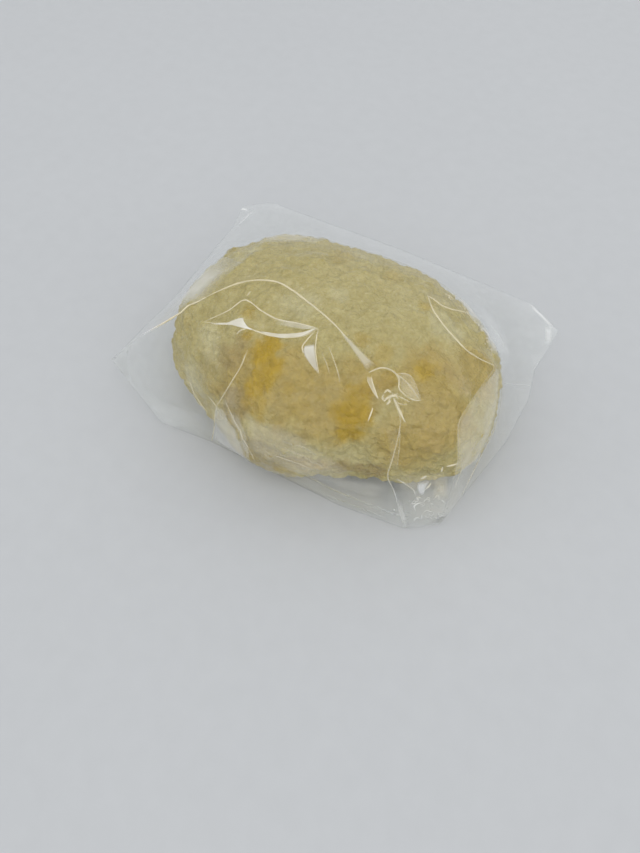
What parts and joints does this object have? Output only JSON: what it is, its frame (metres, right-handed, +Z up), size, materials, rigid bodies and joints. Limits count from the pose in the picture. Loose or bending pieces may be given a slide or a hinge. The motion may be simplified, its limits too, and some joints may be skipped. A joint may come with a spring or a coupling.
{
  "type": "wrapped dango",
  "caption": "An oval rice dumpling with pieces of yellow sweet potato showing at its surface, sealed in a clear creased film bag with flat flaps round it.",
  "frame": {"origin": "middle of the bag's outline, on the surface that it lies on", "axes": "+Z up; +X along the longer side of the bag, to the right in the picture; +Y across it, away from the camera"},
  "size_m": [0.0836, 0.0684, 0.0275],
  "materials": {
    "film": "thin clear glossy film over a moist, pale olive-yellow rice dumpling with amber patches"
  },
  "bodies": {
    "root": {"film_bag": "film"}
  },
  "joints": []
}
